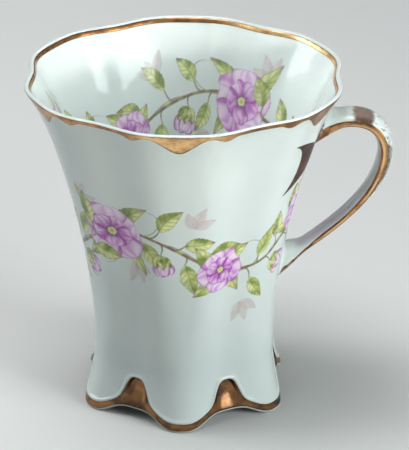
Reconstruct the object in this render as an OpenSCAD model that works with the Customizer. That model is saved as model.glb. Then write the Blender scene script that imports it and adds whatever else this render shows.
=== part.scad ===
// Tall lobed porcelain chocolate cup on toes, with a strap handle and gilded edges.
// Millimetres, +Z up. The origin is on the cup's axis at table level, and the handle points to +X.
// Angles run about +Z from +X. A valley between two lobes lies at angle 0, under the handle.

/* [Cup] */
// Height of the rim above the table
cup_h = 88; // [80:1:96]
// Mean radius of the rim
rim_r = 40.7; // [38:0.1:44]
// Mean radius of the waist
waist_r = 23.9; // [22.5:0.1:25]
// Height of the waist above the table
waist_z = 22; // [19:1:26]
// How late the flare comes, as the power of its curve
flare_power = 1.64; // [1.5:0.02:1.9]
// Extra outward turn of the lip
lip_turn = 1.7; // [0.5:0.1:2.5]
// Height of the zone in which the lip turns out
lip_zone = 16; // [10:1:20]
// Wall thickness at the rim
rim_wall = 1.1; // [1:0.1:1.8]
// Wall thickness just above the floor
low_wall = 2.6; // [2.2:0.1:3]
// Height of the floor inside
floor_top = 13.5; // [13:0.5:16]
// Radius where the floor turns up into the wall
bowl_r = 7; // [4:0.5:9]

/* [Lobes] */
// Number of lobes round the cup
lobes = 6; // [5:1:7]
// Swell of a lobe at the rim
rim_swell = 0.95; // [0.6:0.05:1.5]
// Swell of a lobe at mid-wall
wall_swell = 0.6; // [0.5:0.05:1]
// Extra swell of a lobe at the table
foot_swell = 1; // [0.7:0.05:1.2]
// Share of the second wave, which flattens the lobes and narrows the valleys
lobe_flatness = 0.4; // [0.1:0.05:0.45]
// Share of the second wave that rounds the toes
toe_roundness = 0.4; // [0.2:0.05:0.5]

/* [Foot] */
// Outward turn of the toes
toe_turn = 2.9; // [2.5:0.1:3.4]
// Height of the zone in which the toes turn out
toe_zone = 14; // [10:1:18]
// Height of the arches between the toes
arch_h = 2.8; // [2:0.1:3.6]
// Half the angle of a toe that stands flat on the table
toe_flat = 3.75; // [3.75:0.25:7.5]
// Width of the edge that the cup stands on
edge_w = 2.8; // [2.5:0.1:3.1]
// Height of the hollow under the floor
hollow_h = 9.5; // [8:0.5:10]
// Radius of the flat ceiling of that hollow
hollow_r = 14; // [12:0.5:15]
// Width of a niche between two toes
niche_w = 7; // [6:0.1:7.6]
// Height of a niche's crown above the table
niche_top = 12; // [10:0.5:13]
// Height at which a niche's crown springs
niche_spring = 5; // [4:0.5:7]
// Depth of a niche
niche_depth = 1.5; // [0.8:0.1:1.7]

/* [Handle] */
// Reach of the strap's centre line from the cup's axis
reach = 51; // [47:0.5:56]
// Height of the furthest point of the strap
reach_z = 68; // [64:0.5:70]
// Height of the upper root on the wall
upper_z = 73.5; // [71:0.5:75]
// Height of the lower root on the wall
lower_z = 36.5; // [34:0.5:40]
// Width of the strap near its top
strap_w = 9.2; // [7:0.1:10]
// Thickness of the strap near its top
strap_t = 4; // [3:0.1:4.6]
// Width of the strap near its lower root
tail_w = 6.8; // [5.5:0.1:8]
// Thickness of the strap near its lower root
tail_t = 2.9; // [2.6:0.1:3.6]
// Thickness of the bed of slip under each root
bed = 0.45; // [0.3:0.05:0.8]

/* [Gilding] */
// Thickness of the gilding
film = 0.15; // [0.1:0.01:0.25]
// Depth of the gold line between the drips
line_d = 1.1; // [0.8:0.1:1.8]
// Depth of the long drip on each lobe
long_drip = 5.5; // [3:0.1:6.5]
// Depth of the short drips beside it
short_drip = 2.2; // [1.4:0.1:3]
// Width of the gold band along the toes
toe_band = 1.8; // [1.2:0.1:2.4]

/* [Hidden] */

white = "#e2ebe8";
slip = "#d5d3c8";
gold = "#a8723a";

pitch = 360 / lobes;       // angle from one valley to the next
columns = 16 * lobes;      // columns of facets round the body
fine_columns = 32 * lobes; // columns round the rim's gilding
foot_rows = 10;            // rows of facets up the foot
wall_rows = 18;            // rows of facets up the wall above it
rows_in = 8;               // rows of facets down the inner wall
lip_round = 0.45;          // height of the rounded lip
edge_round = 0.7;          // rounding of the standing edge
swell_fade = 48;           // height at which the foot's extra swell has died away
arch_fade = 16;            // height at which the arches no longer lift the rows
niche_core = 0.45;         // share of a niche's half width that is at full depth
niche_brim = 1.05;         // share at which the niche meets the wall
niche_lip = 6;             // height in which a niche deepens from the edge upwards
seat = 0.13;               // gap that keeps the facets of two layers apart

// Smooth curves
function clip(x) = min(1, max(0, x));
function mix(a, b, t) = a + (b - a) * t;
function ramp(a, b, x) = let(t = clip((x - a) / (b - a))) t * t * (3 - 2 * t);
function bezier(p, t) = let(u = 1 - t)
    u * u * u * p[0] + 3 * u * u * t * p[1] + 3 * u * t * t * p[2] + t * t * t * p[3];
function unit(v) = v / norm(v);

// The wall: a mean radius by height, and a wave round it with its peak in each valley
function mean_r(z) =
    waist_r
    + (rim_r - lip_turn - waist_r) * pow(max(0, (z - waist_z) / (cup_h - waist_z)), flare_power)
    + lip_turn * pow(clip((z - cup_h + lip_zone) / lip_zone), 2);
function toe_out(z) = toe_turn * pow(clip(1 - z / toe_zone), 1.6);
function wall_wave(z) = mix(wall_swell, rim_swell, clip((z - waist_z) / (cup_h - waist_z)));
function foot_wave(z) = foot_swell * pow(clip(1 - z / swell_fade), 2);
function wave(a, second) = cos(lobes * a) + second * cos(2 * lobes * a);

// The standing edge: flat under each toe, and arched up between the toes
function valley_share(a) = (1 + cos(lobes * a)) / 2;
flat_share = (1 - cos(lobes * toe_flat)) / 2;
arch_share = 0.9;
function edge_z(a) =
    arch_h * pow(sin(90 * clip((valley_share(a) - flat_share) / (arch_share - flat_share))), 1.5);
function raised(a, z) = z + edge_z(a) * (1 - ramp(0, arch_fade, z));

// A niche: an arch in each valley, straight below its springing and round above, that deepens upwards
function from_valley(a) = a - pitch * round(a / pitch);
function valley_arc(a) = from_valley(a) * PI / 180 * waist_r;
function niche(a, z) =
    let(e = norm([2 * valley_arc(a) / niche_w,
                  max(0, z - niche_spring) / (niche_top - niche_spring)]))
    niche_depth * (1 - ramp(niche_core, niche_brim, e)) * ramp(-0.3 * niche_lip, niche_lip, z - edge_z(a));

function outer_r(a, z) =
    mean_r(z) + toe_out(z) - wall_wave(z) * wave(a, lobe_flatness) - foot_wave(z) * wave(a, -toe_roundness)
    - niche(a, z);
function wall_t(z) = mix(low_wall, rim_wall, clip((z - floor_top) / (cup_h - floor_top)));
function inner_r(a, z) = mean_r(z) - wall_t(z) - wall_wave(z) * wave(a, lobe_flatness);

// Points on the cup
function spot(a, r, z) = [r * cos(a), r * sin(a), z];
function outer(a, z, lift = 0) = let(h = raised(a, z)) spot(a, outer_r(a, h) + lift, h);
function inner(a, z, lift = 0) = spot(a, inner_r(a, z) - lift, z);
function wall_spot(y, z, lift) = let(a = asin(y / outer_r(0, z))) spot(a, outer_r(a, z) + lift, z);
function turn(n) = [for (j = [0:n - 1]) 360 * j / n];

// Solids from rings of points: closed by a pole at each end, or run round into a hoop
function band_faces(n, i, k) = [
    for (j = [0:n - 1]) let(m = (j + 1) % n)
        each [[i * n + j, k * n + j, k * n + m], [i * n + j, k * n + m, i * n + m]]
];
module poled(rings, first, last) {
    n = len(rings[0]);
    m = len(rings);
    polyhedron(
        points = concat([for (ring = rings) each ring], [first, last]),
        faces = concat(
            [for (j = [0:n - 1]) [m * n, j, (j + 1) % n]],
            [for (i = [0:m - 2]) each band_faces(n, i, i + 1)],
            [for (j = [0:n - 1]) [(m - 1) * n + j, m * n + 1, (m - 1) * n + (j + 1) % n]]
        ),
        convexity = 8
    );
}
module hoop(rings) {
    n = len(rings[0]);
    m = len(rings);
    polyhedron(
        points = [for (ring = rings) each ring],
        faces = [for (i = [0:m - 1]) each band_faces(n, i, (i + 1) % m)],
        convexity = 8
    );
}

// Heights of the rows up the outer wall, closer together over the niches, and down the inner wall
wall_top = cup_h - lip_round;
foot_top = niche_top + 1;
function row_z(i) =
    i < foot_rows
        ? mix(edge_round, foot_top, i / foot_rows)
        : mix(foot_top, wall_top, (i - foot_rows) / wall_rows);
function inner_row_z(i) = mix(wall_top, floor_top + bowl_r, i / rows_in);

// Rings of the body, from the hollow under the floor, up the wall, over the lip and down inside
function hollow_ring(q) = [
    for (a = turn(columns))
        let(z = edge_z(a), r = outer_r(a, z) - edge_w)
        spot(a, mix(hollow_r, r, sin(q)), mix(z, hollow_h, cos(q)))
];
edge_ring = [
    for (a = turn(columns)) let(z = edge_z(a)) spot(a, outer_r(a, z) - edge_round, z)
];
function wall_ring(z) = [for (a = turn(columns)) outer(a, z)];
function lip_ring(q) = [
    for (a = turn(columns))
        spot(a, outer_r(a, wall_top) - rim_wall * (1 - cos(q)) / 2, wall_top + lip_round * sin(q))
];
function inner_ring(z) = [for (a = turn(columns)) inner(a, z)];
function bowl_ring(q) = [
    for (a = turn(columns))
        spot(a, inner_r(a, floor_top + bowl_r) - bowl_r * (1 - cos(q)),
             floor_top + bowl_r * (1 - sin(q)))
];

module cup_body() {
    rings = concat(
        [for (q = [0:30:90]) hollow_ring(q)],
        [edge_ring],
        [for (i = [0:foot_rows + wall_rows - 1]) wall_ring(row_z(i))],
        [for (q = [0:45:180]) lip_ring(q)],
        [for (i = [1:rows_in]) inner_ring(inner_row_z(i))],
        [for (q = [30:30:90]) bowl_ring(q)]
    );
    color(white) poled(rings, [0, 0, hollow_h], [0, 0, floor_top]);
}

// The strap's centre line: one curve from the upper root out to the reach, one back to the lower root
upper_x = outer_r(0, upper_z) + seat + bed;
lower_x = outer_r(0, lower_z) + seat + bed;
upper_root_at = [upper_x, upper_z];
lower_root_at = [lower_x, lower_z];
reach_at = [reach, reach_z];
upper_rise = [8, 5.5];   // the way in which the strap leaves its upper root
lower_rise = [12.5, 9];  // the way in which it leaves its lower root
crown_pull = [0, 9.4];   // how far the bend above the reach is drawn up
heel_pull = [-0.5, -12]; // how far the bend below it is drawn down
upper_curve = [upper_root_at, upper_root_at + upper_rise, reach_at + crown_pull, reach_at];
lower_curve = [reach_at, reach_at + heel_pull, lower_root_at + lower_rise, lower_root_at];
upper_part = 0.38;       // share of the strap's length in its first curve
root_part = 0.11;        // share of the length in which a root grows into the strap
strap_steps = 42;
strap_sides = 20;
function centre(s) =
    let(p = s < upper_part
            ? bezier(upper_curve, s / upper_part)
            : bezier(lower_curve, (s - upper_part) / (1 - upper_part)))
    [p[0], 0, p[1]];
function along(s) = unit(centre(min(1, s + 0.004)) - centre(max(0, s - 0.004)));
function outward(s) = let(t = along(s)) [-t[2], 0, t[0]];

// The strap's section: a rounded oblong that slims towards the lower root
section_power = 0.92;
function half_w(s) = mix(strap_w, tail_w, ramp(0.3, 0.8, s)) / 2;
function half_t(s) = mix(strap_t, tail_t, ramp(0.35, 0.75, s)) / 2;
function squared(x) = sign(x) * pow(abs(x), section_power);
function section(s, q, grow) =
    centre(s)
    + [0, (half_w(s) + grow) * squared(cos(q)), 0]
    + outward(s) * (half_t(s) + grow) * squared(sin(q));

// The roots: oblong patches of the wall, as half width across and half height
upper_root = [5.2, 4.6];
lower_root = [4.4, 4.4];
function root_spot(z, root, share, q, lift) =
    wall_spot(share * root[0] * cos(q), z + share * root[1] * sin(q), lift);
function strap(s, q, grow = 0) =
    s < 0.5
        ? mix(root_spot(upper_z, upper_root, 1, q, seat + bed + grow) + centre(s) - centre(0),
              section(s, q, grow), ramp(0, root_part, s))
        : mix(root_spot(lower_z, lower_root, 1, -q, seat + bed + grow) + centre(s) - centre(1),
              section(s, q, grow), ramp(0, root_part, 1 - s));

module handle() {
    sides = turn(strap_sides);
    rings = concat(
        [[for (q = sides) root_spot(upper_z, upper_root, 0.5, q, seat + bed)]],
        [for (i = [0:strap_steps]) [for (q = sides) strap(i / strap_steps, q)]],
        [[for (q = sides) root_spot(lower_z, lower_root, 0.5, -q, seat + bed)]]
    );
    color(white) poled(rings, centre(0), centre(1));
}

// A bed of slip between a root and the wall, with a bead that stands out round it
module luting(z, root) {
    bead = 1.06;
    steps = [[0.5, seat], [bead, seat], [1, bed], [0.5, bed]];
    rings = [for (step = steps) [for (q = turn(strap_sides)) root_spot(z, root, step[0], q, step[1])]];
    color(slip) poled(rings, wall_spot(0, z, seat), wall_spot(0, z, bed));
}
module upper_luting() luting(upper_z, upper_root);
module lower_luting() luting(lower_z, lower_root);

// Depth of the rim's gold: a line, a long drip on each lobe, and a short one to either side
long_half = 11;
short_half = 5;
short_at = 17;
function from_lobe(a) = abs(from_valley(a + pitch / 2));
function gold_depth(a) =
    let(d = from_lobe(a))
    line_d
    + (long_drip - line_d) * (1 - ramp(0, long_half, d))
    + (short_drip - line_d) * (1 - ramp(0, short_half, abs(d - short_at)));

module rim_gilding() {
    around = turn(fine_columns);
    function ring(share, lift) = [
        for (a = around) outer(a, wall_top - share * gold_depth(a), lift)
    ];
    color(gold) hoop([
        ring(1, seat + film), ring(0.5, seat + film), ring(0, seat + film),
        ring(0, seat), ring(1, seat)
    ]);
}

module inner_rim_line() {
    around = turn(columns);
    function ring(depth, lift) = [for (a = around) inner(a, wall_top - depth, lift)];
    color(gold) hoop([ring(line_d, seat), ring(0, seat), ring(0, seat + film), ring(line_d, seat + film)]);
}

// Upper edge of the foot's gold: a band along each toe, and a bell that fills each niche
gold_start = 0.6;
gold_rows = 8;
gold_half = 3.6;
gold_crown = niche_top - 1.2;
function foot_gold_top(a) =
    let(low = gold_start + toe_band, u = abs(valley_arc(a)) / gold_half)
    low + (gold_crown - low) / (1 + pow(u, 3.7) + 0.6 * pow(u, 9));

module foot_gilding() {
    function ring(share, lift) = [
        for (a = turn(columns)) outer(a, mix(gold_start, foot_gold_top(a), share), lift)
    ];
    color(gold) hoop(concat(
        [for (i = [0:gold_rows]) ring(i / gold_rows, seat + film)],
        [for (i = [gold_rows:-1:0]) ring(i / gold_rows, seat)]
    ));
}

// A gold line along each edge of the strap, as angles of its section. It starts towards the finger gap,
// where it widens into the upper root, and drifts outwards on the way down.
line_ends = [2, strap_steps - 2]; // the strap's steps at which it starts and ends
line_steps = 6;
function at_root(s) = 1 - ramp(0.03, 0.13, s);
function line_mid(s) =
    mix(mix(197, 187, ramp(0.12, 0.36, s)), 172, ramp(0.4, 0.75, s)) + 14 * at_root(s);
function line_half(s) = mix(31, 26, ramp(0.15, 0.4, s)) + 12 * at_root(s);
function line_seat(s) = seat + 0.16 * at_root(s); // more room where the root twists the strap's faces
module edge_line(near) {
    function line_q(s, i) = line_mid(s) + line_half(s) * (2 * i / line_steps - 1);
    function at(s, i, lift) =
        near ? strap(s, line_q(s, i), lift) : strap(s, 180 - line_q(s, line_steps - i), lift);
    function ring(s) = concat(
        [for (i = [0:line_steps]) at(s, i, line_seat(s) + film)],
        [for (i = [line_steps:-1:0]) at(s, i, line_seat(s))]
    );
    rings = [for (i = [line_ends[0]:line_ends[1]]) ring(i / strap_steps)];
    function middle(ring) = (ring[line_steps / 2] + ring[line_steps + 1 + line_steps / 2]) / 2;
    poled(rings, middle(rings[0]), middle(rings[len(rings) - 1]));
}
module handle_gilding() {
    color(gold) {
        edge_line(true);
        edge_line(false);
    }
}

// A crescent of gold on the wall at each side of the upper root, between two curves of arc from the
// handle's plane and height. They meet in a horn above and a tail below.
front_curve = [[22, 77.2], [15, 75], [15.5, 66], [21.6, 62.5]];
root_curve = [[22, 77.4], [12, 76.2], [-4, 70], [21.6, 62.5]];
crescent_ends = [0.02, 0.98];
crescent_steps = 20;
crescent_rows = 6;
function arc_spot(p, lift) =
    let(a = p[0] / outer_r(0, upper_z) * 180 / PI) spot(a, outer_r(a, p[1]) + lift, p[1]);
module crescent(side) {
    function at(t, i, lift) =
        let(u = (side < 0 ? i : crescent_rows - i) / crescent_rows,
            p = mix(bezier(root_curve, t), bezier(front_curve, t), u))
        arc_spot([side * p[0], p[1]], lift);
    function ring(t) = concat(
        [for (i = [0:crescent_rows]) at(t, i, seat + film)],
        [for (i = [crescent_rows:-1:0]) at(t, i, seat)]
    );
    function middle(ring) = (ring[crescent_rows / 2] + ring[crescent_rows + 1 + crescent_rows / 2]) / 2;
    rings = [
        for (i = [0:crescent_steps]) ring(mix(crescent_ends[0], crescent_ends[1], i / crescent_steps))
    ];
    poled(rings, middle(rings[0]), middle(rings[crescent_steps]));
}
module root_flourish() {
    color(gold) for (side = [-1, 1]) crescent(side);
}

cup_body();
handle();
upper_luting();
lower_luting();
rim_gilding();
inner_rim_line();
foot_gilding();
handle_gilding();
root_flourish();
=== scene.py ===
# %% [markdown]
# # A porcelain chocolate cup
# A tall flared cup with six soft lobes, a foot of six toes with gilded niches between them, a strap
# handle, a gilded rim and a printed flower garland. The imported solids give the cup's height.
# Such a cup could be turned as a lathe shape and then sculpted by hand. Here each surface is a formula of
# two parameters instead, worked out as whole numpy arrays in millimetres, because the same formulas made
# the solids and the skin then lies on them.

# %% The frame
import math

import bpy
import numpy as np
from mathutils import Euler, Matrix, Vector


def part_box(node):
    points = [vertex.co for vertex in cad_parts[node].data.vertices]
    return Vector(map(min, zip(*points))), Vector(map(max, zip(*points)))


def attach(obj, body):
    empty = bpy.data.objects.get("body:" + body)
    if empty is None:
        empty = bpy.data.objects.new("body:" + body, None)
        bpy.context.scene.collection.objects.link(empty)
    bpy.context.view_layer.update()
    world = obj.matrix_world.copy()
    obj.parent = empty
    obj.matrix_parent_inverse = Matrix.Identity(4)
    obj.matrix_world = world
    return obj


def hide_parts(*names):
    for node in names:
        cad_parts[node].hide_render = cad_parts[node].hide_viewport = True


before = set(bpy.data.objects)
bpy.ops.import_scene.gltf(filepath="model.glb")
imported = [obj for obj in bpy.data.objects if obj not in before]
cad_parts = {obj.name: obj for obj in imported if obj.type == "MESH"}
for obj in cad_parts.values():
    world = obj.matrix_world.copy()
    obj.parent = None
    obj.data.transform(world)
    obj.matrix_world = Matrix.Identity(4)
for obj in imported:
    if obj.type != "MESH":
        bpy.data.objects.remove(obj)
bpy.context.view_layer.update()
MM = 0.001
body_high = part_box("cup_body")[1]
cup_h = body_high.z / MM
print("The cup is", round(cup_h, 2), "mm high, in", len(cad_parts), "pieces")

# %% [markdown]
# ## The camera
# The photograph was taken from a little above with a long lens. A camera set by eye would hide errors of
# shape, so its place was fitted to the rim, the waist and the toes. It comes first, because every later
# piece is judged through it. Blender sets the sensor along the longer side of the picture, which here is
# its height. The picture was held a hair out of true, so the camera is rolled a fifth of a degree.

# %% Camera
picture_h = 450
focal_px = 2763
sensor = 36.0
view_turn, view_rise, view_roll = np.radians([1.45, 24.95, 0.22])
view_distance = 712
view_right = 5.2
view_height = 45.7

back = np.array([
    np.sin(view_turn) * np.cos(view_rise),
    -np.cos(view_turn) * np.cos(view_rise),
    np.sin(view_rise),
])
target = np.array([view_right * np.cos(view_turn), view_right * np.sin(view_turn), view_height])
look = Euler((np.pi / 2 - view_rise, 0, view_turn)).to_matrix() @ Matrix.Rotation(view_roll, 3, "Z")
camera = bpy.data.objects.new("camera", bpy.data.cameras.new("camera"))
camera.data.lens = focal_px * sensor / picture_h
camera.data.sensor_width = sensor
camera.location = (target + back * view_distance) * MM
camera.rotation_euler = look.to_euler()
camera.data.clip_start = 0.05
camera.data.clip_end = 20
bpy.context.scene.collection.objects.link(camera)
bpy.context.scene.camera = camera
print("Lens", round(camera.data.lens, 1), "mm")

# %% [markdown]
# ## From arrays to meshes
# Every piece starts as a grid of points. bmesh could add its vertices and faces one at a time, but whole
# arrays are shorter and quicker. A grid that runs round and closes on itself is a hoop, and a grid with a
# point at each end is a closed vessel. The sign of the enclosed volume tells whether the faces look
# outwards, and the faces are turned round where it is negative.


# %% Curves
def clip(x):
    """x, held between 0 and 1."""
    return np.clip(x, 0.0, 1.0)


def mix(a, b, t):
    """a, and a share t of the way from there to b."""
    return a + (b - a) * t


def ramp(a, b, x):
    """0 before a, 1 after b, and between them three times the square of the share less twice its cube."""
    t = clip((x - a) / (b - a))
    return t * t * (3 - 2 * t)


def bump(x):
    """A bell of height 1 about 0: e to the power of less the square."""
    return np.exp(-x * x)


def bezier(points, t):
    """A cubic curve through its first and last points, drawn towards the two between."""
    p = np.array(points, float)
    t = np.asarray(t, float)[..., None]
    u = 1 - t
    return u**3 * p[0] + 3 * u * u * t * p[1] + 3 * u * t * t * p[2] + t**3 * p[3]


# %% Faces
def grid_faces(rows, columns, round_rows=False, round_columns=False):
    """Four-sided faces of a grid, closed round either way if asked."""
    i = np.arange(rows if round_rows else rows - 1)[:, None]
    j = np.arange(columns if round_columns else columns - 1)[None, :]
    k, m = (i + 1) % rows, (j + 1) % columns
    corners = [i * columns + j, i * columns + m, k * columns + m, k * columns + j]
    return np.stack(np.broadcast_arrays(*corners), -1).reshape(-1, 4)


def cap_faces(first, columns, pole):
    """Triangles from a ring to one point."""
    j = np.arange(columns)
    return np.stack([first + (j + 1) % columns, first + j, np.full(columns, pole)], -1)


def enclosed(points, faces):
    """Signed volume inside a closed mesh, from its fans of triangles."""
    total = 0.0
    for k in range(1, faces.shape[1] - 1):
        a, b, c = (points[faces[:, n]] for n in (0, k, k + 1))
        total += np.einsum("ij,ij->i", a, np.cross(b, c)).sum() / 6
    return total


# %% Pieces
def make_piece(name, points, face_sets, material, slot, stands_for=(), numbers=None, colours=None):
    """Puts points in mm and sets of faces into a smooth mesh that rides on the cup."""
    points = np.asarray(points, float).reshape(-1, 3)
    turned = sum(enclosed(points, f) for f in face_sets) < 0
    faces = [face for f in face_sets for face in (f[:, ::-1] if turned else f).tolist()]
    mesh = bpy.data.meshes.new(name)
    mesh.from_pydata((points * MM).tolist(), [], faces)
    mesh.shade_smooth()
    for key, value in (numbers or {}).items():
        data = mesh.attributes.new(key, "FLOAT", "POINT").data
        data.foreach_set("value", np.asarray(value, np.float32).ravel())
    for key, value in (colours or {}).items():
        data = mesh.attributes.new(key, "FLOAT_COLOR", "POINT").data
        data.foreach_set("color", np.asarray(value, np.float32).ravel())
    mesh.materials.append(material)
    piece = bpy.data.objects.new(name, mesh)
    bpy.context.scene.collection.objects.link(piece)
    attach(piece, "root")
    if stands_for:
        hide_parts(*stands_for)
    print(name, len(points), "points,", len(faces), "faces")
    return piece


def make_vessel(name, rings, first, last, material, slot, stands_for=(), **looks):
    """A closed skin over a stack of rings, with a point at each end."""
    rows, columns = rings.shape[:2]
    points = np.concatenate([rings.reshape(-1, 3), [first, last]])
    ends = [cap_faces(0, columns, rows * columns),
            cap_faces((rows - 1) * columns, columns, rows * columns + 1)[:, ::-1]]
    make_piece(name, points, [grid_faces(rows, columns, False, True), np.concatenate(ends)],
               material, slot, stands_for, **looks)


def make_hoop(name, rings, material, slot, stands_for=(), **looks):
    """A closed hoop: its rings run round the cup, and the last joins the first."""
    faces = grid_faces(*rings.shape[:2], True, True)
    make_piece(name, rings, [faces], material, slot, stands_for, **looks)


# %% [markdown]
# ## Shader maths
# A finish is a formula too. Its nodes could be added and linked one by one, which takes several lines for
# each sum. Instead one small class wraps a socket, and Python's own operators add Math nodes, so a mask
# reads as it would on paper. Every other node comes from one method.


# %% Wires
class Wire:
    """One output socket of a material. Operators on wires and numbers add Math nodes."""

    def __init__(self, tree, socket):
        self.tree, self.socket = tree, socket

    @staticmethod
    def node(tree, kind, settings=None, inputs=None, out=0):
        """Adds a node, sets its settings, fills its sockets, and gives one of its outputs."""
        made = tree.nodes.new(kind)
        for key, value in (settings or {}).items():
            setattr(made, key, value)
        for key, value in (inputs or {}).items():
            if isinstance(value, Wire):
                tree.links.new(value.socket, made.inputs[key])
            else:
                made.inputs[key].default_value = value
        return Wire(tree, made.outputs[out])

    def math(self, operation, *values):
        """One Math node on these wires and numbers."""
        return Wire.node(self.tree, "ShaderNodeMath", {"operation": operation}, dict(enumerate(values)))

    def __add__(self, other):
        return self.math("ADD", self, other)

    def __sub__(self, other):
        return self.math("SUBTRACT", self, other)

    def __rsub__(self, other):
        return self.math("SUBTRACT", other, self)

    def __mul__(self, other):
        return self.math("MULTIPLY", self, other)

    __radd__ = __add__
    __rmul__ = __mul__

    def between(self, low, high):
        """A smooth step from 0 at low to 1 at high."""
        settings = {"interpolation_type": "SMOOTHSTEP"}
        return Wire.node(self.tree, "ShaderNodeMapRange", settings, {0: self, 1: low, 2: high})


# %% Finishes
class Finish:
    """A material with one Principled shader, and short names for the nodes that these finishes use."""

    def __init__(self, name, **sockets):
        self.material = bpy.data.materials.new(name)
        self.material.use_nodes = True
        self.tree = self.material.node_tree
        self.shader = self.tree.nodes["Principled BSDF"]
        self.place = Wire.node(self.tree, "ShaderNodeTexCoord", out="Object")
        self.set(**sockets)

    def set(self, **sockets):
        """Fills sockets by name, with _ for a space."""
        for key, value in sockets.items():
            socket = self.shader.inputs[key.replace("_", " ")]
            if isinstance(value, Wire):
                self.tree.links.new(value.socket, socket)
            else:
                socket.default_value = value

    def noise(self, per_mm, detail=2.0, roughness=0.5):
        """Soft noise from 0 to 1, with this many waves to a millimetre."""
        inputs = {"Vector": self.place, "Scale": per_mm / MM, "Detail": detail, "Roughness": roughness}
        return Wire.node(self.tree, "ShaderNodeTexNoise", None, inputs)

    def cells(self, per_mm):
        """Distance to the nearest of scattered points, in cells."""
        inputs = {"Vector": self.place, "Scale": per_mm / MM}
        return Wire.node(self.tree, "ShaderNodeTexVoronoi", None, inputs)

    def value(self, name):
        """A number kept in the mesh at each point."""
        return Wire.node(self.tree, "ShaderNodeAttribute", {"attribute_name": name}, out="Fac")

    def paint(self, name):
        """A colour kept in the mesh at each point, and how much it covers."""
        settings = {"attribute_name": name}
        return [Wire.node(self.tree, "ShaderNodeAttribute", settings, out=o) for o in ("Color", "Alpha")]

    def blend(self, share, a, b):
        """Colour a where share is 0 and b where it is 1."""
        settings = {"data_type": "RGBA", "clamp_factor": True}
        return Wire.node(self.tree, "ShaderNodeMix", settings, {0: share, 6: a, 7: b}, 2)

    def relief(self, height, depth):
        """Bump from a height of 0 to 1, depth mm deep."""
        inputs = {"Height": height, "Distance": depth * MM, "Strength": 1.0}
        self.set(Normal=Wire.node(self.tree, "ShaderNodeBump", None, inputs))


# %% [markdown]
# ## Porcelain
# The glaze is clear glass over a cool white clay. It is not one flat white: the glaze pools a little
# greener in some places, ripples softly, and is bare and matt on the edge that the cup stands on. Noise in
# space gives all this without a seam, which a picture wrapped round the cup would have. The same finish
# takes the printed colours, because the print lies under the glaze.

# %% Porcelain finish
clay_white = (0.765, 0.84, 0.815, 1)
clay_cool = (0.725, 0.805, 0.785, 1)
bare_clay = (0.72, 0.68, 0.60, 1)
pool_waves, ripple_waves, sheen_waves = 0.05, 0.14, 0.25
ripple_depth, glaze_bend, glaze_rough, bare_rough = 0.2, 1.52, 0.07, 0.5


def glazed(name):
    """A finish of plain glaze, its colour from soft pools of two whites, and its roughness. It has a slow ripple."""
    f = Finish(name, IOR=glaze_bend, Specular_IOR_Level=0.5)
    pool = f.noise(pool_waves, 3)
    f.relief(f.noise(ripple_waves, 2), ripple_depth)
    colour = f.blend(pool.between(0.35, 0.68), clay_white, clay_cool)
    return f, colour, glaze_rough + f.noise(sheen_waves, 2) * 0.06


def porcelain(name, printed=False, bare=False):
    """Glaze that shows the ink of a print, or bare rough clay, as far as the mesh says at each point."""
    f, colour, roughness = glazed(name)
    if printed:
        ink, cover = f.paint("ink")
        colour = f.blend(cover, colour, ink)
    if bare:
        edge = f.value("bare")
        colour = f.blend(edge, colour, bare_clay)
        roughness = roughness + edge * bare_rough
    f.set(Base_Color=colour, Roughness=roughness)
    return f.material


glaze = porcelain("porcelain_glaze", bare=True)
print("Glaze:", len(glaze.node_tree.nodes), "nodes")

# %% [markdown]
# ## Gold
# The gold was brushed on and fired, and long years of washing have thinned it. It shows as an orange
# metal where it is thick, brown where it is thin, and it is gone in flecks along its edges. The flecks
# could be painted by hand, stroke by stroke. Instead an attribute says how near the edge a point is, and
# noise against that attribute gives the flecks, so that every edge wears by one rule.

# %% Gold finish
worn_brown = (0.20, 0.13, 0.09, 1)
margin_brown = (0.075, 0.045, 0.028, 1)
stroke_waves, fleck_waves, brush_waves, brush_depth = 0.2, 1.1, 0.9, 0.02


def gilding(name, bright, brown, worn, margin, shine=1.0, highlight_core=None, painted_highlight=None):
    """Metal between two tones. worn is how readily the edges lose their gold, and margin how dark they are.
    The last two are tones of painted highlights: one along the middle of the stroke, and one in patches where the mesh
    asks for it."""
    f = Finish(name, IOR=1.5, Specular_IOR_Level=0.1 + 0.4 * shine)
    strokes = f.noise(stroke_waves, 4, 0.6)
    colour = f.blend(strokes.between(0.38, 0.62), bright, brown)
    edge = f.value("edge")
    # Painted highlights: a paler tone in patches, as far as the mesh asks for it.
    if painted_highlight:
        patches = 0.45 + f.noise(0.35, 3, 0.6).between(0.36, 0.6) * 0.55
        colour = f.blend(f.value("painted_highlight") * patches, colour, painted_highlight)
    # Painted highlight: a paler tone along the middle of the stroke.
    if highlight_core:
        highlight_streak = (1 - edge.between(0, 0.05)) * f.noise(0.12, 3, 0.6).between(0.34, 0.6)
        colour = f.blend(highlight_streak, colour, highlight_core)
    colour = f.blend(edge.between(0.1, 0.9) * margin, colour, margin_brown)
    gone = (f.noise(fleck_waves, 3, 0.65) + edge * worn - 0.5 * worn).between(0.66, 0.74)
    colour = f.blend(gone, colour, worn_brown)
    roughness = 0.33 - 0.13 * shine + strokes * 0.12 + gone * 0.25
    f.set(Base_Color=colour, Metallic=shine - gone * 0.8 * shine, Roughness=roughness)
    f.relief(f.noise(brush_waves, 3), brush_depth)
    return f.material


# The rim's gold has a paler tone for painted highlights.
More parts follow.
